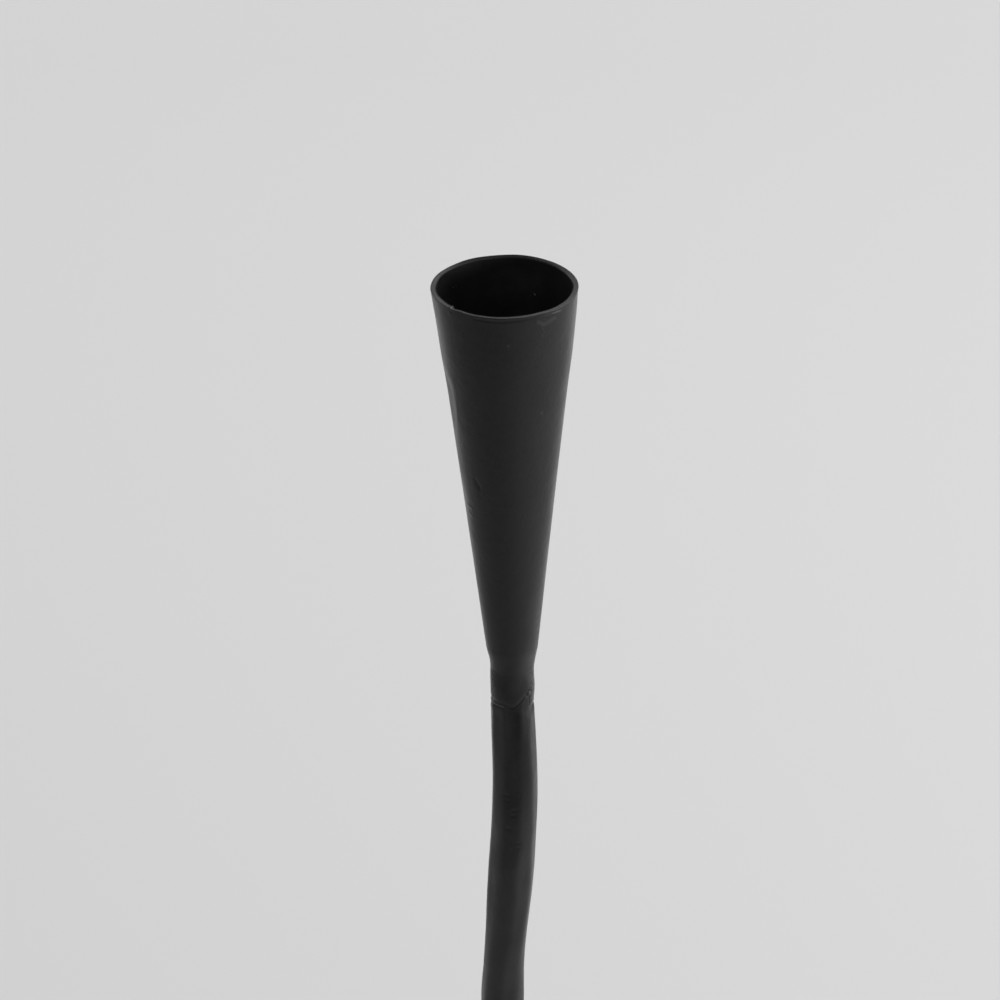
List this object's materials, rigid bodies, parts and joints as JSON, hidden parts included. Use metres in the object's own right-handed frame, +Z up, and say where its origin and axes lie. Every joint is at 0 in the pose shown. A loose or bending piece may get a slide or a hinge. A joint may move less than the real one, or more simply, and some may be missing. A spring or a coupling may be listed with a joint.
{
  "type": "spiral candle holder",
  "caption": "Tall black iron candle holder: an open cone cup on a slim twisted bar that stands in a flat spiral foot.",
  "frame": {"origin": "middle of the spiral foot's outer box, on the floor", "axes": "+Z up along the stem, +X to the right and +Y away from the viewer of the picture"},
  "size_m": [0.142, 0.1334, 0.3607],
  "materials": {
    "cup_black": "matte",
    "bar_black": "matte",
    "joint_black": "matte"
  },
  "bodies": {
    "root": {"candle_cup": "cup_black", "cup_seam_weld": "cup_black", "cup_weld": "joint_black", "neck_ferrule": "joint_black", "neck_pin": "joint_black", "stem": "bar_black", "foot_pin": "joint_black", "spiral_foot": "bar_black"}
  },
  "joints": []
}
